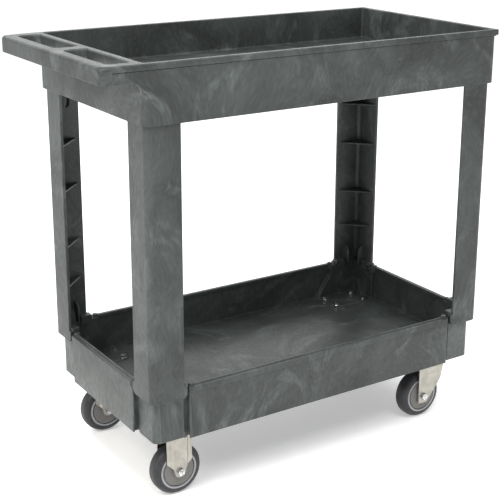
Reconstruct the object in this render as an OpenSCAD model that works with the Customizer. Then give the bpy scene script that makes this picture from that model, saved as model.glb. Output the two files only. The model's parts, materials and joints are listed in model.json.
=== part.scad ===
// Rolling utility cart: two moulded tub shelves on four angle legs, with two rigid
// casters at the handle end and two swivel casters at the far end.
// Millimetres. +X runs from the handle towards the far end, +Y to the left, +Z up.
// The origin is on the floor, under the middle of the overall length and width.

/* [Overall] */
// Overall length, from the handle edge to the far rim
overall_l = 880; // [740:1:1060]
// Overall width across the top rim
overall_w = 440; // [370:1:530]
// Height of the top rim above the floor
overall_h = 843; // [700:1:1010]

/* [Upper shelf] */
// Reach of the handle past the end wall
handle_reach = 77; // [60:1:100]
// Depth of the handle's side lip
handle_lip = 31; // [24:1:40]
// Depth of the upper skirt below the rim
upper_skirt = 108; // [90:1:140]
// Depth of the upper tub
upper_depth = 68; // [50:1:80]
// Height of the rim band
rim_band = 11; // [8:0.5:14]
// Width of the rim's top
rim_w = 11; // [9:0.5:16]
// Step from the rim band in to the skirt
rim_proud = 2; // [1:0.5:3]
// Height of the shadow groove below the rim band
groove_h = 1.2; // [1:0.2:3]
// Skirt wall thickness
wall = 6; // [4:0.5:8]
// Floor thickness of both tubs
floor_t = 6; // [4:0.5:8]
// Corner radius of the skirts in plan
skirt_r = 15; // [8:1:18]
// Corner radius of the handle in plan
handle_r = 14; // [8:1:24]
// Radius of the fillet under the handle
handle_fillet = 20; // [8:1:24]
// Thickness of the handle's top and lip
handle_t = 7; // [5:0.5:9]
// Length of each grip slot
grip_l = 175; // [120:1:190]
// Width of each grip slot
grip_w = 44; // [34:1:48]
// Corner radius of the grip slots
grip_r = 9; // [4:1:14]
// Width of the web between the grip slots
grip_web = 32; // [20:1:50]
// Width of the outer grip bar
grip_bar = 25; // [18:1:32]

/* [Lower shelf] */
// Height of the caster plates' top above the floor
caster_h = 150; // [140:1:170]
// Height of the lower floor's top above the caster plates
floor_lift = 10; // [7:0.5:14]
// Depth of the lower tub
lower_depth = 78; // [60:1:100]
// Depth of the lower skirt below the rim
lower_skirt = 102.5; // [92:0.5:110]
// Height of the lower rim band
low_band = 10; // [7:0.5:13]
// Width of the lower rim's top
low_rim_w = 13; // [9:0.5:16]
// Step of the lower rim band out from the skirt
low_proud = 2.5; // [0.5:0.5:3]
// Step from the lower skirt in to the corner columns
column_step = 9; // [7:0.5:11]
// Corner radius of the columns in plan
column_r = 14; // [8:1:18]
// Width of the slot beside each column
slot_w = 7.5; // [6:0.5:9]
// Depth of that slot behind the column's face
slot_deep = 4; // [3:0.5:5]
// Reach of the pocket behind the skirt, beside each slot
pocket_reach = 5; // [3:0.5:6]
// Rise of the caster pads above the lower floor
pad_rise = 2.5; // [1:0.5:4]
// Length of a corner panel at its foot
panel_l = 122; // [100:1:140]
// Width of a corner panel at its foot
panel_w = 88; // [78:1:110]

/* [Legs] */
// Width of a leg's wings
wing = 68; // [60:1:84]
// Thickness of a leg's wings
wing_t = 6; // [4:0.5:8]
// Outer corner radius of a leg
leg_r = 14; // [8:1:16]
// Width of a leg's foot
foot_w = 74; // [70:1:86]
// Drop of a foot below the lower rim
foot_drop = 19; // [12:1:30]
// Radius of a foot's lower corners
foot_r = 10; // [5:1:14]
// Thickness of the webs across a leg
web_t = 3.5; // [2.5:0.5:5]
// Reach of a fin from its wing
fin_reach = 20; // [12:1:26]
// Distance of the fins from a leg's outer faces
fin_at = 42; // [34:1:48]

/* [Casters] */
// Wheel diameter
wheel_d = 102; // [90:1:124]
// Tread width
tyre_w = 33; // [26:1:33]
// Shoulder radius of the tread
tyre_shoulder = 12; // [6:1:13]
// Diameter of the hub's rim, under the tread
hub_rim_d = 76; // [66:1:80]
// Distance of a caster's middle from the lower skirt's end
caster_inset = 75; // [68:1:95]
// Distance of a caster's middle from the lower skirt's side
caster_side = 57.5; // [52:0.5:70]
// Axle offset of a swivel caster
trail = 32.5; // [26:0.5:38]
// Sheet thickness of forks and plates
sheet = 3; // [2:0.5:4]
// Clear gap between a fork's legs
fork_gap = 41; // [40:1:48]
// Mounting plate length
plate_l = 96; // [90:1:104]
// Mounting plate width
plate_w = 66; // [62:1:74]
// Bolt spacing along a plate
bolt_dx = 77; // [74:0.5:82]
// Bolt spacing across a plate
bolt_dy = 47; // [44:0.5:52]
// Mounting bolt diameter
bolt_d = 8; // [6:0.5:10]
// Axle bolt diameter
axle_d = 8; // [6:0.5:10]
// Kingpin diameter
pin_d = 12; // [10:0.5:14]
// Diameter of the swivel's ball circle
ball_circle = 44; // [38:1:46]
// Ball diameter
ball_d = 6; // [5:0.5:7]

/* [Fits] */
// Radial clearance of a turning fit
run = 0.08; // [0.04:0.01:0.1]
// Radial clearance of a bolt in its hole
bolt_gap = 0.25; // [0.1:0.05:0.4]
// Gap between pieces that swivel past each other
swing_gap = 0.5; // [0.3:0.1:1]
// Gap between a leg's foot and the shelf inside it
foot_gap = 0.1; // [0.05:0.05:0.3]

/* [Hidden] */
$fn = 48;
eps = 0.01;
side = [-1, 1];

// Plan of the upper shelf: the tub's outer box, and the legs' outer box inside its skirt
x_far = overall_l / 2;
x_grip = -overall_l / 2;
tub_x = [x_grip + handle_reach, x_far - rim_proud];
tub_y = overall_w / 2 - rim_proud;
leg_x = [tub_x[0] + wall, tub_x[1] - wall];
leg_y = tub_y - wall;
tub_inner_y = overall_w / 2 - rim_w;
tub_inner_x = [tub_x[0] + wall, x_far - rim_w];
rim_r = 3;
inner_r = 5;

// Heights of the upper shelf
upper_bottom = overall_h - upper_skirt;
upper_floor = overall_h - upper_depth;
upper_under = upper_floor - floor_t;
rib_t = 4;
upper_rib_z = upper_under - 22;
lip_z = overall_h - handle_lip;
groove_z = overall_h - rim_band - groove_h;
groove_in = 1;
groove_x = x_grip + 20;

// Plan and heights of the lower shelf
foot_proud = 1;
low_x = [leg_x[0] + foot_proud, leg_x[1] - foot_proud];
low_y = leg_y - foot_proud;
low_floor = caster_h + floor_lift;
pad_top = low_floor + pad_rise;
low_rim = low_floor + lower_depth;
low_bottom = low_rim - lower_skirt;
low_under = low_floor - floor_t;
low_rib_z = low_bottom + 3;
bead_h = 2;
panel_deep = column_step + slot_deep + 3;
panel_top_l = wing + 2;
panel_top_w = wing - 12;
boss_w = panel_w + 12;
slot_x = foot_w - 4;
slot_end = slot_x + slot_w;
tongue_back = panel_deep - 2;
edge_r = 4;
pocket_wall = 3;
pocket_drop = low_band + 1;
bead_w = 4.5;
knob_r = 5.5;
knob_h = 17;
knob_top = low_rim + 5;
knob_at = slot_end + knob_r + 2;

// Legs: everything is measured from the outer corner of one leg
foot_z = low_rim - foot_drop;
leg_top = upper_under - 1;
span = upper_bottom - low_rim;
web_at = [0.194, 0.362, 0.596, 0.783];
web_end = 8;
fin_t = 4;
fin_h = 44;
hook_w = 24;
hook_drop = 9;
hook_rise = 10;
foot_t = leg_y - (low_y - column_step) - foot_gap;

// Wheels and axles, from the wheel's middle plane outwards
wheel_r = wheel_d / 2;
hub_rim_r = hub_rim_d / 2;
ring_t = 4;
ring_out = tyre_w / 2 + 0.5;
dish_out = 12;
boss_r = 11;
boss_out = fork_gap / 2 - 2.2;
bush_r = 9;
bush_flange = 12;
bush_t = 1;
bush_l = 15;
sleeve_r = axle_d / 2 + 2;
guard_t = 0.8;
guard_disc = 1.2;
guard_out = ring_out - 0.2;
guard_r = hub_rim_r - ring_t - 2.5;
guard_cone_r = bush_flange + 2.4;
hex_af = 13 / 8;
head_h = 0.66;
nut_h = 0.8;
washer_t = 1.6;

// Swivel bearing, downwards from the plate
plate_z = caster_h - sheet;
nut_drop = nut_h * bolt_d + 1;
crown_top = plate_z - nut_drop - sheet / 2 - swing_gap;
crown_z = crown_top - sheet;
ball_z = (plate_z + crown_top) / 2 - 0.4;
ball_n = 18;
race_in = ball_circle / 2 - 6.5;
race_out = ball_circle / 2 + 5.5;
race_gap = 0.6;
pin_head_r = 10;
pin_head_t = 3.2;
pocket_r = pin_head_r + 3;

// Caster positions
caster_y = low_y - caster_side;
rigid_x = low_x[0] + caster_inset;
swivel_x = low_x[1] - caster_inset;
wheel_x = swivel_x - trail;

// ---------- shared shapes ----------

// Rectangle between two corners, with rounded corners
module plan(x0, x1, y, r) {
    translate([x0 + r, -y]) square([x1 - x0 - 2 * r, 2 * y]);
    translate([x0, -y + r]) square([x1 - x0, 2 * y - 2 * r]);
    for (x = [x0 + r, x1 - r], s = side) translate([x, s * (y - r)]) circle(r);
}

// Upright slab with a rounded plan
module slab(x0, x1, y, r, z0, z1) {
    translate([0, 0, z0]) linear_extrude(z1 - z0) plan(x0, x1, y, r);
}

// Box from its low corner to its high corner
module span_box(a, b) {
    translate(a) cube(b - a);
}

// Outline in X and Z, pushed out along Y from y0 to y1
module push_y(y0, y1) {
    translate([0, y1, 0]) rotate([90, 0, 0]) linear_extrude(y1 - y0) children();
}

// Outline in Y and Z, pushed out along X from x0 to x1
module push_x(x0, x1) {
    translate([x0, 0, 0]) rotate([90, 0, 90]) linear_extrude(x1 - x0) children();
}

// Outline of radius and distance, turned about the Y axis
module turn_y() {
    rotate([-90, 0, 0]) rotate_extrude($fn = 96) children();
}

// Puts a piece in both mirrored halves of a wheel
module both_y() {
    children();
    mirror([0, 1, 0]) children();
}

// ---------- shelves ----------

// Plan of one grip slot, grown by g all round
module grip_plan(g) {
    translate([x_grip + grip_bar, (grip_web + grip_l) / 2])
        plan(-g, grip_w + g, grip_l / 2 + g, grip_r + g);
}

module grip_slots() {
    for (m = [0, 1]) mirror([0, m, 0]) linear_extrude(overall_h + 1) grip_plan(0);
}

// Hollow under the handle, with a collar left round each grip slot
module handle_hollow() {
    collar = 5;
    z1 = overall_h - handle_t;
    difference() {
        slab(x_grip + handle_t, tub_x[0], overall_w / 2 - handle_t, handle_r - handle_t, lip_z - 1, z1);
        for (m = [0, 1]) mirror([0, m, 0]) linear_extrude(overall_h) grip_plan(collar);
    }
}

// Concave corner under the handle, at one side wall
module handle_gusset() {
    r = handle_fillet;
    difference() {
        translate([tub_x[0] - r, lip_z - r]) square([r + 10, r + 2]);
        translate([tub_x[0] - r, lip_z - r]) circle(r);
    }
}

// Ribs under the upper floor
module upper_ribs() {
    n = 4;
    clear = wing + 12;
    for (i = [1:n - 1]) {
        x = leg_x[0] + clear + (leg_x[1] - leg_x[0] - 2 * clear) * (i - 0.5) / (n - 1);
        span_box([x, -leg_y - 1, upper_rib_z], [x + rib_t, leg_y + 1, upper_under + 1]);
    }
    for (y = [-leg_y / 2, 0, leg_y / 2])
        span_box([leg_x[0] - 1, y - rib_t / 2, upper_rib_z], [leg_x[1] + 1, y + rib_t / 2, upper_under + 1]);
}

// Pads that grip a leg's wing against the inside of the skirt
module leg_grips() {
    grip = [14, 4, 20];
    gap = wing_t + 0.3;
    for (sx = [0, 1], sy = side) {
        inward = sx == 0 ? 1 : -1;
        translate([leg_x[sx], sy * leg_y, upper_under - grip[2]]) scale([inward, -sy, 1]) {
            span_box([wing - grip[0], gap, 0], [wing, gap + grip[1], grip[2] + 1]);
            span_box([gap, wing - grip[0], 0], [gap + grip[1], wing, grip[2] + 1]);
        }
    }
}

// Rim band: round at the handle's corners and nearly square at the far ones
module rim_plan() {
    intersection() {
        plan(x_grip, x_far + handle_r, overall_w / 2, handle_r);
        plan(x_grip - rim_r, x_far, overall_w / 2, rim_r);
    }
}

module upper_outside() {
    translate([0, 0, overall_h - rim_band]) linear_extrude(rim_band) rim_plan();
    intersection() {
        slab(x_grip, x_far, overall_w / 2, handle_r, lip_z, overall_h);
        span_box([x_grip, -overall_w, lip_z], [groove_x, overall_w, overall_h]);
    }
    slab(x_grip + handle_r, x_far - groove_in - rim_proud, overall_w / 2 - groove_in - rim_proud, rim_r,
         groove_z - 1, overall_h - 1);
    span_box([groove_x - 1, -tub_y, lip_z], [tub_x[0] + skirt_r + 1, tub_y, groove_z]);
    slab(tub_x[0], tub_x[1], tub_y, skirt_r, upper_bottom, groove_z);
    for (m = [0, 1]) mirror([0, m, 0]) push_y(tub_y - rim_w, tub_y) handle_gusset();
}

module upper_shelf() {
    color("#5b6160") difference() {
        upper_outside();
        slab(tub_inner_x[0], tub_inner_x[1], tub_inner_y, inner_r, upper_floor, overall_h + 1);
        slab(leg_x[0], leg_x[1], leg_y, leg_r, upper_bottom - 1, upper_under);
        handle_hollow();
        grip_slots();
    }
    color("#5b6160") {
        upper_ribs();
        leg_grips();
    }
}

// Corner region of the lower shelf, measured from the skirt's outer corner
module at_low_corner(ix, s) {
    inward = ix == 0 ? 1 : -1;
    translate([low_x[ix], s * low_y, 0]) scale([inward, -s, 1]) children();
}

// What is cut from a corner so that the leg's foot sits flush outside the column
module column_cut() {
    z0 = low_bottom - 10;
    out = 10;
    step = column_step;
    translate([0, 0, z0]) linear_extrude(low_rim - z0 + 1) {
        difference() {
            translate([-out, -out]) square(slot_end + out);
            translate([step + column_r, step]) square(slot_end);
            translate([step, step + column_r]) square(slot_end);
            translate([step + column_r, step + column_r]) circle(column_r);
        }
        for (m = [0, 1]) mirror([m, -m]) {
            translate([slot_x, -out]) square([slot_w, out + step + slot_deep]);
            difference() {
                translate([slot_end - 1, -out]) square([edge_r + 1, out + edge_r]);
                translate([slot_end + edge_r, edge_r]) circle(edge_r);
            }
        }
    }
}

// Sloping panels that stiffen a corner on the inside, and the caster pad between them
module corner_inside() {
    z0 = low_floor - 1;
    top = low_rim - 1;
    push_y(0, panel_deep)
        polygon([[0, z0], [panel_l, z0], [panel_l, pad_top], [panel_top_l, top], [0, top]]);
    push_x(0, panel_deep)
        polygon([[0, z0], [panel_w, z0], [panel_w, pad_top], [panel_top_w, top], [0, top]]);
    span_box([0, 0, caster_h], [panel_l, panel_w, pad_top]);
    span_box([0, 0, caster_h], [panel_l, boss_w, low_floor]);
}

// Pockets behind the skirt's ends, open at the slots and at the bottom
module slot_pockets() {
    z0 = low_bottom - 1;
    deep = column_step + slot_deep;
    for (m = [0, 1]) mirror([m, -m, 0])
        span_box([slot_end - 1, pocket_wall, z0], [slot_end + pocket_reach, deep, low_rim - pocket_drop]);
}

// Walls behind a corner's columns, slots and pockets
module column_backing() {
    long = slot_end + pocket_reach + pocket_wall;
    for (m = [0, 1]) mirror([m, -m, 0]) {
        span_box([0, 0, low_bottom], [long, panel_deep, low_floor]);
        span_box([slot_x - edge_r, 0, low_floor - 1], [long, panel_deep, low_rim - 1]);
    }
}

// Rounded tongue at the foot of a slot
module slot_tongues() {
    r = slot_w / 2 + 1.5;
    drop = 3.5;
    for (m = [0, 1]) mirror([m, -m, 0])
        translate([slot_x + slot_w / 2, 0, low_bottom + r - drop])
            push_y(column_step + slot_deep - 0.5, tongue_back) {
                circle(r);
                translate([-r, 0]) square([2 * r, 2 * r]);
            }
}

// Raised bead along the inside of the lower rim, with a knob at each end
module rim_beads() {
    inner = low_rim_w - low_proud;
    z0 = low_rim - 2;
    z1 = low_rim + bead_h;
    for (s = side) {
        x = [low_x[0] + knob_at, low_x[1] - knob_at];
        y = s * (low_y - inner + bead_w / 2);
        span_box([x[0], y - bead_w / 2, z0], [x[1], y + bead_w / 2, z1]);
        for (i = [0, 1]) translate([x[i], y, knob_top - knob_h]) cylinder(h = knob_h, r = knob_r);
    }
    for (i = [0, 1]) {
        x = i == 0 ? low_x[0] + inner - bead_w / 2 : low_x[1] - inner + bead_w / 2;
        y = low_y - knob_at;
        span_box([x - bead_w / 2, -y, z0], [x + bead_w / 2, y, z1]);
        for (s = side) translate([x, s * y, knob_top - knob_h]) cylinder(h = knob_h, r = knob_r);
    }
}

// Ribs under the lower floor, clear of the casters
module lower_ribs() {
    n = 4;
    clear = panel_l + 10;
    for (i = [0:n - 1]) {
        x = low_x[0] + clear + (low_x[1] - low_x[0] - 2 * clear) * i / (n - 1);
        span_box([x - rib_t / 2, -low_y + wall - 1, low_rib_z], [x + rib_t / 2, low_y - wall + 1, low_under + 1]);
    }
    reach = low_y - boss_w - rib_t / 2;
    for (y = [-reach, 0, reach])
        span_box([low_x[0] + wall - 1, y - rib_t / 2, low_rib_z], [low_x[1] - wall + 1, y + rib_t / 2, low_under + 1]);
}

module caster_holes() {
    for (x = [rigid_x, swivel_x], s = side) translate([x, s * caster_y, 0]) {
        for (i = side, j = side)
            translate([i * bolt_dx / 2, j * bolt_dy / 2, caster_h - 20]) cylinder(h = 60, r = bolt_d / 2 + bolt_gap);
        translate([0, 0, caster_h - 1]) cylinder(h = pin_head_t + 2.5, r = pocket_r);
    }
}

module lower_tub() {
    in_x = low_rim_w - low_proud;
    band_z = low_rim - low_band;
    difference() {
        union() {
            slab(low_x[0] - low_proud, low_x[1] + low_proud, low_y + low_proud, skirt_r, band_z, low_rim);
            slab(low_x[0], low_x[1], low_y, skirt_r, low_bottom, band_z + 1);
        }
        slab(low_x[0] + in_x, low_x[1] - in_x, low_y - in_x, inner_r, band_z, low_rim + 1);
        slab(low_x[0] + wall, low_x[1] - wall, low_y - wall, inner_r, low_floor, low_rim - low_band / 2);
        slab(low_x[0] + wall, low_x[1] - wall, low_y - wall, inner_r, low_bottom - 1, low_under);
    }
}

module lower_shelf() {
    color("#595b58") difference() {
        union() {
            lower_tub();
            for (ix = [0, 1], s = side) at_low_corner(ix, s) {
                corner_inside();
                column_backing();
            }
            lower_ribs();
            rim_beads();
        }
        for (ix = [0, 1], s = side) at_low_corner(ix, s) {
            column_cut();
            slot_pockets();
        }
        caster_holes();
    }
    color("#595b58") for (ix = [0, 1], s = side) at_low_corner(ix, s) slot_tongues();
}

// ---------- legs ----------

// Angle section of a leg, with its outer corner at the origin
module leg_section(w, t) {
    inner_r = max(leg_r - t, 2);
    difference() {
        union() {
            translate([leg_r, 0]) square([w - leg_r, w]);
            translate([0, leg_r]) square([w, w - leg_r]);
            translate([leg_r, leg_r]) circle(leg_r);
        }
        translate([t + inner_r, t]) square(w);
        translate([t, t + inner_r]) square(w);
        translate([t + inner_r, t + inner_r]) circle(inner_r);
    }
}

// Outline that rounds a foot's lower free corner
module foot_outline() {
    high = foot_drop + 5;
    translate([-1, foot_z + foot_r]) square([foot_w + 1, high - foot_r]);
    translate([-1, foot_z]) square([foot_w + 1 - foot_r, high]);
    translate([foot_w - foot_r, foot_z + foot_r]) circle(foot_r);
}

module foot() {
    intersection() {
        translate([0, 0, foot_z]) linear_extrude(foot_drop + 5) leg_section(foot_w, foot_t);
        push_y(-1, foot_w + 1) foot_outline();
        mirror([1, -1, 0]) push_y(-1, foot_w + 1) foot_outline();
    }
}

// Triangular web from wing to wing
module leg_web(z) {
    far = wing - web_end;
    translate([0, 0, z - web_t]) linear_extrude(web_t)
        polygon([[wing_t - 1, wing_t - 1], [far, wing_t - 1], [far, wing_t], [wing_t, far], [wing_t - 1, far]]);
}

// Fin standing on a wing: straight at one end, and rounded into the wing at the other.
// up is 1 where the rounded end is the upper one, and 0 where it is the lower one.
module fin(z0, z1, up) {
    r = fin_reach;
    push_x(fin_at - fin_t / 2, fin_at + fin_t / 2) {
        translate([wing_t - 1, up == 1 ? z0 : z0 + r]) square([r + 1, z1 - z0 - r]);
        intersection() {
            translate([wing_t - 1, z0]) square([r + 1, z1 - z0]);
            translate([wing_t, up == 1 ? z1 - r : z0 + r]) circle(r, $fn = 96);
        }
    }
}

// Hook at a wing's free end that laps over the lower rim
module hook() {
    inner = foot_proud + panel_deep + 0.3;
    x1 = foot_w - 1;
    span_box([x1 - hook_w, wing_t - 1, low_rim + foot_gap], [x1, inner + 4, low_rim + hook_rise]);
    span_box([x1 - hook_w, inner, low_rim - hook_drop], [x1 - 5, inner + 4, low_rim + 1]);
}

module leg_shape() {
    translate([0, 0, low_rim + foot_gap]) linear_extrude(leg_top - low_rim - foot_gap) leg_section(wing, wing_t);
    foot();
    for (f = web_at) leg_web(low_rim + f * span);
    for (m = [0, 1]) mirror([m, -m, 0]) {
        fin(low_rim + foot_gap, low_rim + fin_h, 1);
        fin(upper_bottom - fin_h, leg_top - 22, 0);
        hook();
    }
}

module leg(ix, s) {
    inward = ix == 0 ? 1 : -1;
    color("#5d6160") translate([leg_x[ix], s * leg_y, 0]) scale([inward, -s, 1]) leg_shape();
}

// ---------- fasteners ----------

module hex_head(d, h) {
    intersection() {
        cylinder(h = h, r = hex_af * d / sqrt(3), $fn = 6);
        cylinder(h = h, r = hex_af * d / 2 + 0.75);
    }
}

module at_plate_bolts() {
    for (i = side, j = side) translate([i * bolt_dx / 2, j * bolt_dy / 2, 0]) children();
}

module at_caster(x, s) {
    translate([x, s * caster_y, 0]) children();
}

module caster_bolts(x, s) {
    low = plate_z - nut_drop;
    color("#c9ccce") at_caster(x, s) at_plate_bolts() {
        translate([0, 0, low]) cylinder(h = pad_top + washer_t - low + 1, r = bolt_d / 2);
        translate([0, 0, pad_top + washer_t]) hex_head(bolt_d, head_h * bolt_d);
    }
}

module caster_washers(x, s) {
    color("#b9bcbe") at_caster(x, s) at_plate_bolts() translate([0, 0, pad_top]) difference() {
        cylinder(h = washer_t, r = bolt_d);
        translate([0, 0, -1]) cylinder(h = washer_t + 2, r = bolt_d / 2 + bolt_gap);
    }
}

module caster_nuts(x, s) {
    h = nut_h * bolt_d;
    color("#b9bcbe") at_caster(x, s) at_plate_bolts() translate([0, 0, plate_z - h]) difference() {
        hex_head(bolt_d, h);
        translate([0, 0, -1]) cylinder(h = h + 2, r = bolt_d / 2);
    }
}

// ---------- casters ----------

module plate_outline() {
    translate([-plate_l / 2, 0]) plan(0, plate_l, plate_w / 2, 8);
}

module plate_holes() {
    at_plate_bolts() translate([0, 0, plate_z - 1]) cylinder(h = sheet + 2, r = bolt_d / 2 + bolt_gap);
}

// Channel of bent sheet in Y and Z, open at the bottom
module channel(top) {
    out = fork_gap / 2 + sheet;
    bend = sheet + 2;
    difference() {
        union() {
            translate([-out + bend, 0]) square([2 * (out - bend), top]);
            translate([-out, 0]) square([2 * out, top - bend]);
            for (s = side) translate([s * (out - bend), top - bend]) circle(bend);
        }
        translate([-fork_gap / 2 + 2, -1]) square([fork_gap - 4, top - sheet + 1]);
        translate([-fork_gap / 2, -1]) square([fork_gap, top - bend + 1]);
        for (s = side) translate([s * (fork_gap / 2 - 2), top - bend]) circle(2);
    }
}

module axle_hole() {
    translate([0, 0, wheel_r]) rotate([90, 0, 0]) cylinder(h = 2 * fork_gap, r = axle_d / 2 + 0.15, center = true);
}

// Side outline of a rigid fork: straight sides, sloping shoulders, then a narrow neck round the axle
module rigid_outline(half, nose) {
    shoulder = wheel_r + 19;
    neck = wheel_r + 7;
    polygon([[-half, shoulder], [-half, plate_z + 1], [half, plate_z + 1], [half, shoulder],
             [nose + 2, neck], [nose, wheel_r], [-nose, wheel_r], [-nose - 2, neck]]);
    translate([0, wheel_r]) circle(nose);
}

// Plan of one rigid fork leg: a flat face between two flat strips that are set back
module rigid_leg_plan(half) {
    face = 15;
    back = 2.8;
    bend = sheet * tan(22.5);
    y0 = fork_gap / 2;
    y1 = y0 + sheet;
    polygon([[-face, y1], [-face - back, y1 - back], [-half, y1 - back], [-half, y0 - back],
             [-face - back + bend, y0 - back], [-face + bend, y0], [face - bend, y0],
             [face + back - bend, y0 - back], [half, y0 - back], [half, y1 - back],
             [face + back, y1 - back], [face, y1]]);
}

module rigid_fork(s) {
    nose = 12;
    half = 27;
    color("#a8a49b") at_caster(rigid_x, s) difference() {
        union() {
            translate([0, 0, plate_z]) linear_extrude(sheet) plate_outline();
            intersection() {
                push_x(-half, half) channel(plate_z);
                span_box([-half, -fork_gap, plate_z - sheet - 2.5], [half, fork_gap, plate_z + 1]);
            }
            intersection() {
                linear_extrude(plate_z - sheet) both_y() rigid_leg_plan(half);
                push_y(-fork_gap, fork_gap) rigid_outline(half, nose);
            }
        }
        plate_holes();
        axle_hole();
    }
}

// Side outline of a swivel fork about its axle: upright front edge, swept back edge.
// The front top corner is cut away so that the fork clears the shelf as it swivels.
module swivel_outline() {
    up = crown_top - wheel_r + 1;
    lead = 13.5;
    low = 15.5;
    r = 5;
    polygon([[-lead, r - low], [-lead, up - 18], [-1, up - 4], [-1, up], [trail + 25, up],
             [trail + 20, up - 26], [trail + 14.5, up - 53], [trail + 6, up - 66],
             [24, 3], [9, -low], [r - lead, -low]]);
    translate([r - lead, r - low]) circle(r);
}

module swivel_fork(s) {
    crown_r = race_out;
    color("#b4b1a9") at_caster(wheel_x, s) difference() {
        union() {
            intersection() {
                push_x(-20, trail + 40) channel(crown_top);
                push_y(-fork_gap, fork_gap) translate([0, wheel_r]) swivel_outline();
            }
            translate([trail, 0, crown_z]) cylinder(h = sheet, r = crown_r);
            translate([trail, 0, crown_top - 1])
                cylinder(h = ball_z - race_gap / 2 - crown_top + 1, r = race_out);
        }
        translate([trail, 0, ball_z]) rotate_extrude($fn = 96) translate([ball_circle / 2, 0]) circle(ball_d / 2 + 0.05);
        translate([trail, 0, crown_z - 1]) cylinder(h = 30, r = pin_d / 2 + run);
        translate([trail, 0, crown_top]) cylinder(h = 30, r = race_in);
        axle_hole();
    }
}

module swivel_plate(s) {
    low = ball_z + race_gap / 2;
    color("#a8a49b") at_caster(swivel_x, s) difference() {
        union() {
            translate([0, 0, plate_z]) linear_extrude(sheet) plate_outline();
            translate([0, 0, low]) cylinder(h = plate_z - low + 1, r = race_out);
        }
        translate([0, 0, ball_z]) rotate_extrude($fn = 96) translate([ball_circle / 2, 0]) circle(ball_d / 2 + 0.3);
        translate([0, 0, low - 1]) cylinder(h = plate_z - low + 1, r = race_in);
        translate([0, 0, plate_z - 1]) cylinder(h = sheet + 2, r = pin_d / 2);
        plate_holes();
    }
}

module swivel_balls(s) {
    color("#d0d2d4") at_caster(swivel_x, s)
        for (i = [0:ball_n - 1]) rotate([0, 0, 360 * i / ball_n]) translate([ball_circle / 2, 0, ball_z]) sphere(ball_d / 2);
}

module kingpin(s) {
    color("#8f8d88") at_caster(swivel_x, s) {
        translate([0, 0, crown_z - 0.3 - pin_head_t]) cylinder(h = pin_head_t, r = pin_head_r);
        translate([0, 0, crown_z - 1]) cylinder(h = caster_h - crown_z + 2, r = pin_d / 2);
        translate([0, 0, caster_h]) cylinder(h = pin_head_t, r = pin_head_r);
    }
}

// ---------- wheels ----------

module at_wheel(x, s) {
    translate([x, s * caster_y, wheel_r]) children();
}

// Axle bolt: its head is outside the fork, on the cart's outer side
module axle_bolt(x, s) {
    out = fork_gap / 2 + sheet;
    color("#c9ccce") at_wheel(x, s) rotate([-90 * s, 0, 0]) {
        translate([0, 0, -out - nut_h * axle_d - 1]) cylinder(h = 2 * out + nut_h * axle_d + 2, r = axle_d / 2);
        translate([0, 0, out]) hex_head(axle_d, head_h * axle_d);
    }
}

module axle_nut(x, s) {
    out = fork_gap / 2 + sheet;
    h = nut_h * axle_d;
    color("#b9bcbe") at_wheel(x, s) rotate([90 * s, 0, 0]) translate([0, 0, out]) difference() {
        hex_head(axle_d, h);
        translate([0, 0, -1]) cylinder(h = h + 2, r = axle_d / 2);
    }
}

module axle_sleeve(x, s) {
    color("#8f8d88") at_wheel(x, s) rotate([90, 0, 0]) difference() {
        cylinder(h = fork_gap, r = sleeve_r, center = true);
        cylinder(h = fork_gap + 2, r = axle_d / 2 + 0.15, center = true);
    }
}

// Hat-shaped discs that keep thread out of the bearings
module thread_guards(x, s) {
    out = fork_gap / 2;
    color("#8b8882") at_wheel(x, s) both_y() turn_y() {
        translate([sleeve_r + 0.1, out - guard_t]) square([guard_cone_r - sleeve_r - 0.1, guard_t]);
        translate([guard_cone_r - 1.2, guard_out - guard_disc]) square([1.2, out - guard_out + guard_disc]);
        translate([guard_cone_r - 1.2, guard_out - guard_disc]) square([guard_r - guard_cone_r + 1.2, guard_disc]);
    }
}

module wheel_bushes(x, s) {
    color("#d8d4c8") at_wheel(x, s) both_y() turn_y() {
        translate([sleeve_r + run, boss_out - bush_l]) square([bush_r - sleeve_r - run, bush_l + bush_t]);
        translate([sleeve_r + run, boss_out]) square([bush_flange - sleeve_r - run, bush_t]);
    }
}

module wheel_hub(x, s) {
    barrel = ring_out - 0.5;
    color("#9a9c9a") at_wheel(x, s) turn_y() {
        translate([bush_r, -boss_out]) square([boss_r - bush_r, 2 * boss_out]);
        translate([boss_r - 0.5, -dish_out]) square([hub_rim_r - boss_r - 2, 2 * dish_out]);
        translate([hub_rim_r - ring_t, -barrel]) square([ring_t, 2 * barrel]);
        for (d = side) translate([hub_rim_r - ring_t, d > 0 ? barrel - 1 : -ring_out])
            square([ring_t - 0.5, ring_out - barrel + 1]);
    }
}

module tyre(x, s) {
    half = tyre_w / 2;
    r = tyre_shoulder;
    color("#4a4b4a") at_wheel(x, s) turn_y() difference() {
        union() {
            translate([hub_rim_r, -half]) square([wheel_r - hub_rim_r - r, tyre_w]);
            translate([hub_rim_r, -half + r]) square([wheel_r - hub_rim_r, tyre_w - 2 * r]);
            for (d = side) translate([wheel_r - r, d * (half - r)]) circle(r);
        }
        translate([0, -half - 1]) square([hub_rim_r, tyre_w + 2]);
    }
}

// ---------- pieces ----------

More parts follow.
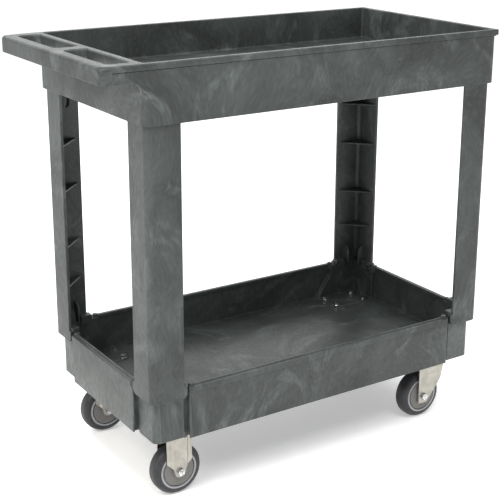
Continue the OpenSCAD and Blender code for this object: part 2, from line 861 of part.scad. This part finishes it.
upper_shelf();
lower_shelf();
leg(0, -1);  // leg_rear_right
leg(0, 1);  // leg_rear_left
leg(1, -1);  // leg_front_right
leg(1, 1);  // leg_front_left
rigid_fork(-1);  // rigid_fork_right
rigid_fork(1);  // rigid_fork_left
swivel_plate(-1);  // swivel_plate_right
swivel_plate(1);  // swivel_plate_left
swivel_fork(-1);  // swivel_fork_right
swivel_fork(1);  // swivel_fork_left
swivel_balls(-1);  // swivel_balls_right
swivel_balls(1);  // swivel_balls_left
kingpin(-1);  // kingpin_right
kingpin(1);  // kingpin_left
caster_bolts(rigid_x, -1);  // caster_bolts_rear_right
caster_bolts(rigid_x, 1);  // caster_bolts_rear_left
caster_bolts(swivel_x, -1);  // caster_bolts_front_right
caster_bolts(swivel_x, 1);  // caster_bolts_front_left
caster_washers(rigid_x, -1);  // caster_washers_rear_right
caster_washers(rigid_x, 1);  // caster_washers_rear_left
caster_washers(swivel_x, -1);  // caster_washers_front_right
caster_washers(swivel_x, 1);  // caster_washers_front_left
caster_nuts(rigid_x, -1);  // caster_nuts_rear_right
caster_nuts(rigid_x, 1);  // caster_nuts_rear_left
caster_nuts(swivel_x, -1);  // caster_nuts_front_right
caster_nuts(swivel_x, 1);  // caster_nuts_front_left
axle_bolt(rigid_x, -1);  // axle_bolt_rear_right
axle_bolt(rigid_x, 1);  // axle_bolt_rear_left
axle_bolt(wheel_x, -1);  // axle_bolt_front_right
axle_bolt(wheel_x, 1);  // axle_bolt_front_left
axle_nut(rigid_x, -1);  // axle_nut_rear_right
axle_nut(rigid_x, 1);  // axle_nut_rear_left
axle_nut(wheel_x, -1);  // axle_nut_front_right
axle_nut(wheel_x, 1);  // axle_nut_front_left
axle_sleeve(rigid_x, -1);  // axle_sleeve_rear_right
axle_sleeve(rigid_x, 1);  // axle_sleeve_rear_left
axle_sleeve(wheel_x, -1);  // axle_sleeve_front_right
axle_sleeve(wheel_x, 1);  // axle_sleeve_front_left
thread_guards(rigid_x, -1);  // thread_guards_rear_right
thread_guards(rigid_x, 1);  // thread_guards_rear_left
thread_guards(wheel_x, -1);  // thread_guards_front_right
thread_guards(wheel_x, 1);  // thread_guards_front_left
wheel_bushes(rigid_x, -1);  // wheel_bushes_rear_right
wheel_bushes(rigid_x, 1);  // wheel_bushes_rear_left
wheel_bushes(wheel_x, -1);  // wheel_bushes_front_right
wheel_bushes(wheel_x, 1);  // wheel_bushes_front_left
wheel_hub(rigid_x, -1);  // wheel_hub_rear_right
wheel_hub(rigid_x, 1);  // wheel_hub_rear_left
wheel_hub(wheel_x, -1);  // wheel_hub_front_right
wheel_hub(wheel_x, 1);  // wheel_hub_front_left
tyre(rigid_x, -1);  // tyre_rear_right
tyre(rigid_x, 1);  // tyre_rear_left
tyre(wheel_x, -1);  // tyre_front_right
tyre(wheel_x, 1);  // tyre_front_left
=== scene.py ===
import json
import math

import bmesh
import bpy
from mathutils import Euler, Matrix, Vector


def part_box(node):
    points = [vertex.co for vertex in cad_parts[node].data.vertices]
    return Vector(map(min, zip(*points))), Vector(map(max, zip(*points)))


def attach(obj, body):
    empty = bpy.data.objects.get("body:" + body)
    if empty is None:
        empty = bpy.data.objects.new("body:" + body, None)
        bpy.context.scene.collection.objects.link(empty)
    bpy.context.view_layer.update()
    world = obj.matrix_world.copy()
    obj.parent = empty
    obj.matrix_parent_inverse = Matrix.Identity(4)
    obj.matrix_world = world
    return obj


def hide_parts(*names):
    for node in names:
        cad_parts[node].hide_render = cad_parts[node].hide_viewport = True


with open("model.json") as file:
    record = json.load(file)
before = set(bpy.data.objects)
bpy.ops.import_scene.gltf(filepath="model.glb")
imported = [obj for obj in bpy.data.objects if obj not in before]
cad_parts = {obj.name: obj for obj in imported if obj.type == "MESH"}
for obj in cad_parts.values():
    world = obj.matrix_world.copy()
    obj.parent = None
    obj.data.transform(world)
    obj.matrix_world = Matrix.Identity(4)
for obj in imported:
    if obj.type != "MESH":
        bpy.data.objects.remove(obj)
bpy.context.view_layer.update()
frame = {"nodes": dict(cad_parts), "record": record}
BODIES = frame["record"]["behaviour"]["bodies"]
MM = 0.001


# ---------- node helpers ----------


class Shader:
    """A material's node tree, with short calls for the nodes used here."""

    def __init__(self, name):
        self.material = bpy.data.materials.new(name)
        self.material.use_nodes = True
        self.tree = self.material.node_tree
        self.tree.nodes.clear()
        self.out = self.add("ShaderNodeOutputMaterial")
        self.bsdf = self.add("ShaderNodeBsdfPrincipled")
        self.link(self.bsdf.outputs["BSDF"], self.out.inputs["Surface"])
        self.place = self.add("ShaderNodeTexCoord").outputs["Object"]

    def add(self, kind, **settings):
        node = self.tree.nodes.new(kind)
        for key, value in settings.items():
            setattr(node, key, value)
        return node

    def link(self, a, b):
        self.tree.links.new(a, b)

    def bent(self, scale, amount):
        """Object coordinates, bent by a slow noise."""
        slow = self.add("ShaderNodeTexNoise")
        slow.inputs["Scale"].default_value = scale
        self.link(self.place, slow.inputs["Vector"])
        push = self.add("ShaderNodeVectorMath", operation="MULTIPLY_ADD")
        push.inputs[1].default_value = (amount,) * 3
        self.link(slow.outputs["Color"], push.inputs[0])
        self.link(self.place, push.inputs[2])
        return push.outputs["Vector"]

    def mapped(self, scale=(1, 1, 1), turn=(0, 0, 0), vector=None):
        """Coordinates turned and then stretched."""
        spin = self.add("ShaderNodeMapping")
        spin.inputs["Rotation"].default_value = [math.radians(a) for a in turn]
        spin.inputs["Scale"].default_value = scale
        self.link(vector or self.place, spin.inputs["Vector"])
        return spin.outputs["Vector"]

    def noise(self, scale, detail=2.0, rough=0.5, bend=0.0, vector=None):
        node = self.add("ShaderNodeTexNoise")
        node.inputs["Scale"].default_value = scale
        node.inputs["Detail"].default_value = detail
        node.inputs["Roughness"].default_value = rough
        node.inputs["Distortion"].default_value = bend
        self.link(vector or self.place, node.inputs["Vector"])
        return node.outputs["Fac"]

    def ramp(self, value, low, high, a=0.0, b=1.0):
        """Maps low..high onto a..b, clamped."""
        node = self.add("ShaderNodeMapRange")
        for name, number in zip(("From Min", "From Max", "To Min", "To Max"), (low, high, a, b)):
            node.inputs[name].default_value = number
        self.link(value, node.inputs["Value"])
        return node.outputs["Result"]

    def math(self, kind, a, b):
        node = self.add("ShaderNodeMath", operation=kind)
        for socket, value in zip(node.inputs, (a, b)):
            if isinstance(value, (int, float)):
                socket.default_value = value
            else:
                self.link(value, socket)
        return node.outputs["Value"]

    def mix(self, amount, a, b):
        node = self.add("ShaderNodeMix", data_type="RGBA")
        sockets = (node.inputs["Factor"], node.inputs[6], node.inputs[7])
        for socket, value in zip(sockets, (amount, a, b)):
            if isinstance(value, tuple):
                socket.default_value = (*value, 1)
            elif isinstance(value, (int, float)):
                socket.default_value = value
            else:
                self.link(value, socket)
        return node.outputs[2]

    def bump(self, height, strength, distance):
        node = self.add("ShaderNodeBump")
        node.inputs["Strength"].default_value = strength
        node.inputs["Distance"].default_value = distance
        self.link(height, node.inputs["Height"])
        self.link(node.outputs["Normal"], self.bsdf.inputs["Normal"])

    def edges(self, reach):
        """Mask for a painted highlight: 0 on flat or gently curved skin, rising to 1 on edges and in creases.
        """
        rounded = self.add("ShaderNodeBevel", samples=6)
        rounded.inputs["Radius"].default_value = reach
        compare = self.add("ShaderNodeVectorMath", operation="DOT_PRODUCT")
        self.link(rounded.outputs["Normal"], compare.inputs[0])
        self.link(self.add("ShaderNodeNewGeometry").outputs["True Normal"], compare.inputs[1])
        return self.ramp(compare.outputs["Value"], 0.985, 0.86)

    def set(self, **values):
        for key, value in values.items():
            socket = self.bsdf.inputs[key.replace("_", " ")]
            if isinstance(value, (int, float)):
                socket.default_value = value
            elif isinstance(value, tuple):
                socket.default_value = (*value, 1)
            else:
                self.link(value, socket)
        return self.material


def grey(srgb):
    """Linear colour of an sRGB triple in 0..255."""
    shares = [value / 255 for value in srgb]
    return tuple(c / 12.92 if c <= 0.04045 else ((c + 0.055) / 1.055) ** 2.4 for c in shares)


def darker(colour, share):
    return tuple(c * share for c in colour)


# ---------- materials ----------


def moulded_plastic(name, base, pale, turn):
    """Structural foam: dark grey-green, with cloudy flow marks, faint brush-like swirls,
    edges and creases painted paler, partly as wear and partly as a painted highlight, and a pebbled skin."""
    s = Shader(name)
    bent = s.bent(3.2, 0.3)
    strokes = s.noise(190, 3, 0.6, 0.3, s.mapped((1, 1, 0.3), turn, bent))
    cloud = s.ramp(s.noise(5.5, 4, 0.55, 0.8, bent), 0.34, 0.7)
    streaks = s.ramp(s.noise(13, 3, 0.55, 0.6, s.mapped((1, 1, 0.25), (0, 0, 0), bent)), 0.48, 0.7)
    wisps = s.ramp(s.noise(8, 5, 0.55, 1.8, s.mapped((1, 1, 0.7), turn, bent)), 0.54, 0.74)
    fine = s.ramp(strokes, 0.34, 0.66)
    dark = darker(base, 0.66)
    skin = s.mix(s.math("MULTIPLY", cloud, 0.3), base, pale)
    skin = s.mix(s.math("MULTIPLY", streaks, 0.5), skin, dark)
    marks = s.math("MULTIPLY", wisps, s.ramp(fine, 0, 1, 0.45, 1))
    skin = s.mix(s.math("MULTIPLY", marks, 0.66), skin, pale)
    skin = s.mix(s.ramp(fine, 0, 0.5, 0.22, 0), skin, dark)
    skin = s.mix(s.ramp(fine, 0.5, 1, 0, 0.1), skin, pale)
    # Painted highlight: edges and creases are lightened towards the pale tone, partly for edge wear and
    # partly for the light they catch.
    skin = s.mix(s.math("MULTIPLY", s.edges(0.0022), s.ramp(fine, 0, 1, 0.25, 0.6)), skin, pale)
    pebble = s.noise(700, 2, 0.5)
    s.bump(s.math("ADD", pebble, s.math("MULTIPLY", strokes, 2.0)), 0.25, 0.0005)
    return s.set(Base_Color=skin, Roughness=s.ramp(fine, 0, 1, 0.5, 0.42), Specular_IOR_Level=0.42)


def sheet_steel(name, colour, rough):
    """Zinc-plated sheet: dull, slightly clouded, with faint rolling lines."""
    s = Shader(name)
    cloud = s.noise(45, 4, 0.6, 0.8)
    lines = s.noise(300, 2, 0.5, 0, s.mapped((0.08, 1, 1)))
    skin = s.mix(s.ramp(cloud, 0.35, 0.7), darker(colour, 0.8), colour)
    s.bump(s.math("ADD", lines, cloud), 0.12, 0.0003)
    return s.set(Base_Color=skin, Metallic=1.0, Roughness=s.ramp(cloud, 0.3, 0.7, rough + 0.08, rough - 0.06))


def bright_zinc(name):
    """Plated fasteners: bright, with dents and dull patches that break up the shine."""
    s = Shader(name)
    wear = s.noise(330, 3, 0.6)
    s.bump(wear, 0.6, 0.0012)
    skin = s.mix(s.ramp(wear, 0.4, 0.62), grey((120, 120, 118)), grey((238, 239, 240)))
    return s.set(Base_Color=skin, Metallic=1.0, Roughness=s.ramp(wear, 0.3, 0.7, 0.36, 0.18))


def tread_rubber(name):
    """Grey non-marking rubber: nearly black, with paler dusty patches scattered at random."""
    s = Shader(name)
    dust = s.ramp(s.noise(70, 5, 0.65), 0.42, 0.75)
    grain = s.noise(700, 2, 0.5)
    skin = s.mix(dust, grey((42, 42, 44)), grey((58, 60, 64)))
    s.bump(grain, 0.25, 0.0003)
    return s.set(Base_Color=skin, Roughness=s.ramp(dust, 0, 1, 0.42, 0.6), Specular_IOR_Level=0.35)


def hard_plastic(name, colour, rough=0.42):
    """Moulded hubs, guards and bushes: even, with a faint grain."""
    s = Shader(name)
    grain = s.noise(420, 3, 0.55)
    skin = s.mix(s.ramp(s.noise(60, 3, 0.6), 0.35, 0.7), darker(colour, 0.86), colour)
    s.bump(grain, 0.15, 0.0002)
    return s.set(Base_Color=skin, Roughness=s.ramp(grain, 0.3, 0.7, rough + 0.06, rough - 0.05))


SHELF_GREY, SHELF_PALE = grey((41, 45, 44)), grey((104, 111, 109))
MATERIALS = {
    "shelf_plastic": moulded_plastic("shelf_plastic", SHELF_GREY, SHELF_PALE, (35, 48, 10)),
    "leg_plastic": moulded_plastic("leg_plastic", SHELF_GREY, SHELF_PALE, (-20, 36, 25)),
    "fork_steel": sheet_steel("fork_steel", grey((176, 173, 165)), 0.4),
    "bright_steel": sheet_steel("bright_steel", grey((190, 190, 188)), 0.3),
    "zinc_fastener": bright_zinc("zinc_fastener"),
    "guard_plastic": hard_plastic("guard_plastic", grey((108, 107, 104)), 0.5),
    "hub_plastic": hard_plastic("hub_plastic", grey((150, 152, 155)), 0.38),
    "bush_plastic": hard_plastic("bush_plastic", grey((216, 211, 198)), 0.4),
    "tread_rubber": tread_rubber("tread_rubber"),
}
SLOTS = {p["node"]: p["material_slot"] for p in frame["record"]["subparts"]}


def finish_cad_nodes():
    """Gives every carried-over CAD node its slot's material."""
    for name, obj in frame["nodes"].items():
        obj.data.materials.clear()
        obj.data.materials.append(MATERIALS[SLOTS[name]])


# ---------- moulded and pressed pieces with real, rounded edges ----------


def body_of(node):
    return next(b for b, members in BODIES.items() if node in members)


WIDEST_ROUNDING = 8 * MM  # an edge's bevel weight is its own rounding as a share of this
SAME_POINT = 0.01 * MM  # mesh points closer than this are joined
SAME_PLANE = math.radians(0.6)  # faces that meet at less than this become one
HARD_EDGE = math.radians(28)  # edges sharper than this are rounded


def softened(node, width_at, segments=3):
    """A finished piece made from a CAD node: flat areas joined up, and hard edges rounded.
    width_at(middle) gives an edge's rounding in metres, and 0 leaves it sharp."""
    mesh = frame["nodes"][node].data.copy()
    bm = bmesh.new()
    bm.from_mesh(mesh)
    bmesh.ops.remove_doubles(bm, verts=bm.verts, dist=SAME_POINT)
    bmesh.ops.dissolve_limit(bm, angle_limit=SAME_PLANE, verts=bm.verts, edges=bm.edges)
    layers = bm.edges.layers.float
    weight = layers.get("bevel_weight_edge") or layers.new("bevel_weight_edge")
    for edge in bm.edges:
        if len(edge.link_faces) == 2 and edge.calc_face_angle(0) > HARD_EDGE:
            middle = (edge.verts[0].co + edge.verts[1].co) / 2
            edge[weight] = min(width_at(middle) / WIDEST_ROUNDING, 1)
    for face in bm.faces:
        face.smooth = True
    bm.to_mesh(mesh)
    bm.free()
    piece = bpy.data.objects.new(node + "_finished", mesh)
    bpy.context.scene.collection.objects.link(piece)
    bevel = piece.modifiers.new("rounded_edges", "BEVEL")
    bevel.limit_method = "WEIGHT"
    bevel.width = WIDEST_ROUNDING
    bevel.segments = segments
    bevel.use_clamp_overlap = False
    bevel.loop_slide = False
    shade = piece.modifiers.new("even_shading", "WEIGHTED_NORMAL")
    shade.keep_sharp = False
    shade.weight = 60
    piece.data.materials.clear()
    piece.data.materials.append(MATERIALS[SLOTS[node]])
    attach(piece, body_of(node))
    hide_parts(node)


def near(a, b):
    """Whether two heights agree to within 0.4 mm."""
    return abs(a - b) < 0.4 * MM


# ---------- floor, light and camera ----------


def floor():
    """A flat pale floor, far wider than the cart."""
    mesh = bpy.data.meshes.new("floor")
    half = 40.0
    corners = [(-half, -half, 0), (half, -half, 0), (half, half, 0), (-half, half, 0)]
    mesh.from_pydata(corners, [], [(0, 1, 2, 3)])
    obj = bpy.data.objects.new("floor", mesh)
    bpy.context.scene.collection.objects.link(obj)
    s = Shader("pale_floor")
    s.set(Base_Color=(0.93, 0.93, 0.93), Roughness=0.9, Emission_Color=(1, 1, 1), Emission_Strength=0.32)
    obj.data.materials.append(s.material)


def area_light(name, place, target, size, power, colour=(1, 1, 1)):
    """A soft box at one place, turned towards another, with its power in watts."""
    data = bpy.data.lights.new(name, "AREA")
    data.shape = "RECTANGLE"
    data.size, data.size_y = size
    data.energy = power
    data.color = colour
    obj = bpy.data.objects.new(name, data)
    obj.location = place
    obj.rotation_euler = (Vector(target) - Vector(place)).to_track_quat("-Z", "Y").to_euler()
    bpy.context.scene.collection.objects.link(obj)


def sun_light(name, towards, wide, strength):
    """A sun seen in the direction given, as wide as the angle given in degrees."""
    data = bpy.data.lights.new(name, "SUN")
    data.energy = strength
    data.angle = math.radians(wide)
    obj = bpy.data.objects.new(name, data)
    obj.rotation_euler = Vector(towards).to_track_quat("Z", "Y").to_euler()
    bpy.context.scene.collection.objects.link(obj)


def lights():
    """A white world, brightest from the horizon down, with an overhead sun and three soft boxes."""
    world = bpy.data.worlds.new("studio")
    bpy.context.scene.world = world
    world.use_nodes = True
    tree = world.node_tree
    background = tree.nodes["Background"]
    split = tree.nodes.new("ShaderNodeSeparateXYZ")
    level = tree.nodes.new("ShaderNodeMapRange")
    for name, number in zip(("From Min", "From Max", "To Min", "To Max"), (0.1, 0.55, 1.0, 0.2)):
        level.inputs[name].default_value = number
    tree.links.new(tree.nodes.new("ShaderNodeTexCoord").outputs["Generated"], split.inputs["Vector"])
    tree.links.new(split.outputs["Z"], level.inputs["Value"])
    tree.links.new(level.outputs["Result"], background.inputs["Strength"])
    background.inputs["Color"].default_value = (1, 1, 1, 1)
    sun_light("overhead", (0.1, 0.1, 1), 60, 1.5)
    area_light("main", (-0.5, -1.8, 3.0), (0, 0, 0.45), (1.6, 1.4), 56)
    area_light("back", (0.9, 3.0, 2.2), (0, 0, 0.2), (4.5, 1.6), 50)
    area_light("left", (-2.3, -0.5, 2.3), (0, 0, 0.4), (1.4, 1.4), 60, (1, 0.97, 0.92))


def camera():
    """From the handle end on the right side, a little above the upper tray."""
    data = bpy.data.cameras.new("camera")
    data.sensor_width = 36
    data.lens = 83.8
    data.shift_x, data.shift_y = -0.0211, -0.0903
    obj = bpy.data.objects.new("camera", data)
    obj.location = (-1.2432, -1.9106, 1.1603)
    azimuth, elevation, roll = math.radians(33.34), math.radians(-16.37), math.radians(0.30)
    obj.rotation_mode = "XYZ"
    turn = Euler((math.pi / 2 + elevation, 0, -azimuth), "XYZ").to_matrix()
    obj.rotation_euler = (turn @ Euler((0, 0, roll), "XYZ").to_matrix()).to_euler()
    bpy.context.scene.collection.objects.link(obj)
    bpy.context.scene.camera = obj


# ---------- how far each edge is rounded ----------

UPPER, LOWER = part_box("upper_shelf"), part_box("lower_shelf")
UPPER_FLOOR = next(m for m in frame["record"]["mounts"] if m["name"] == "upper_tray_floor")["pos_m"][2]
HANDLE_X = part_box("leg_rear_right")[0].x
PLATE_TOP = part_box("rigid_fork_right")[1].z
LIP_BOTTOM = UPPER[1].z - 31 * MM  # underside of the handle's outer lip
RIM_W = 15 * MM  # edges this close to the upper shelf's sides are on its outside


def inset(p, box):
    """Distance of a point inside the nearest upright side of a box."""
    return min(p.x - box[0].x, box[1].x - p.x, p.y - box[0].y, box[1].y - p.y)


def upper_shelf_rounding(p):
    """Broad on the handle and small on the rim and floor. The fillet under the handle stays sharp."""
    on_lip = near(p.z, LIP_BOTTOM)
    in_fillet = LIP_BOTTOM - 25 * MM < p.z < LIP_BOTTOM + 2 * MM
    if p.x < HANDLE_X + 12 * MM and in_fillet and not on_lip:
        return 0
    if near(p.z, UPPER[1].z):
        if p.x < HANDLE_X - 8 * MM:
            return 7 * MM if inset(p, UPPER) < RIM_W else 4 * MM
        return 2 * MM
    if near(p.z, UPPER_FLOOR):
        return 4 * MM
    if near(p.z, UPPER[0].z):
        return 1.4 * MM
    if on_lip:
        return 1 * MM if p.x < HANDLE_X - 30 * MM else 0
    return 0.5 * MM


def leg_rounding(p):
    return 1 * MM


def lower_shelf_rounding(p):
    """The crossings of the ribs under the shelf stay sharp."""
    return 0 if p.z < LOWER[0].z + 10 * MM else 1 * MM


def rigid_fork_rounding(p):
    """Both the legs and the plate are rounded, but not the bend where they meet."""
    return 0.5 * MM if p.z < PLATE_TOP - 12 * MM or p.z > PLATE_TOP - 5.5 * MM else 0


def swivel_fork_rounding(p):
    """The legs are rounded, but not the bend and the race above them."""
    return 0.5 * MM if p.z < PLATE_TOP - 25 * MM else 0


# ---------- build ----------

finish_cad_nodes()
softened("upper_shelf", upper_shelf_rounding, 4)
softened("lower_shelf", lower_shelf_rounding)
for corner in ("rear_right", "rear_left", "front_right", "front_left"):
    softened("leg_" + corner, leg_rounding)
for side in ("right", "left"):
    softened("rigid_fork_" + side, rigid_fork_rounding, 2)
    softened("swivel_fork_" + side, swivel_fork_rounding, 2)
floor()
lights()
camera()
bpy.context.scene.view_settings.view_transform = "Standard"
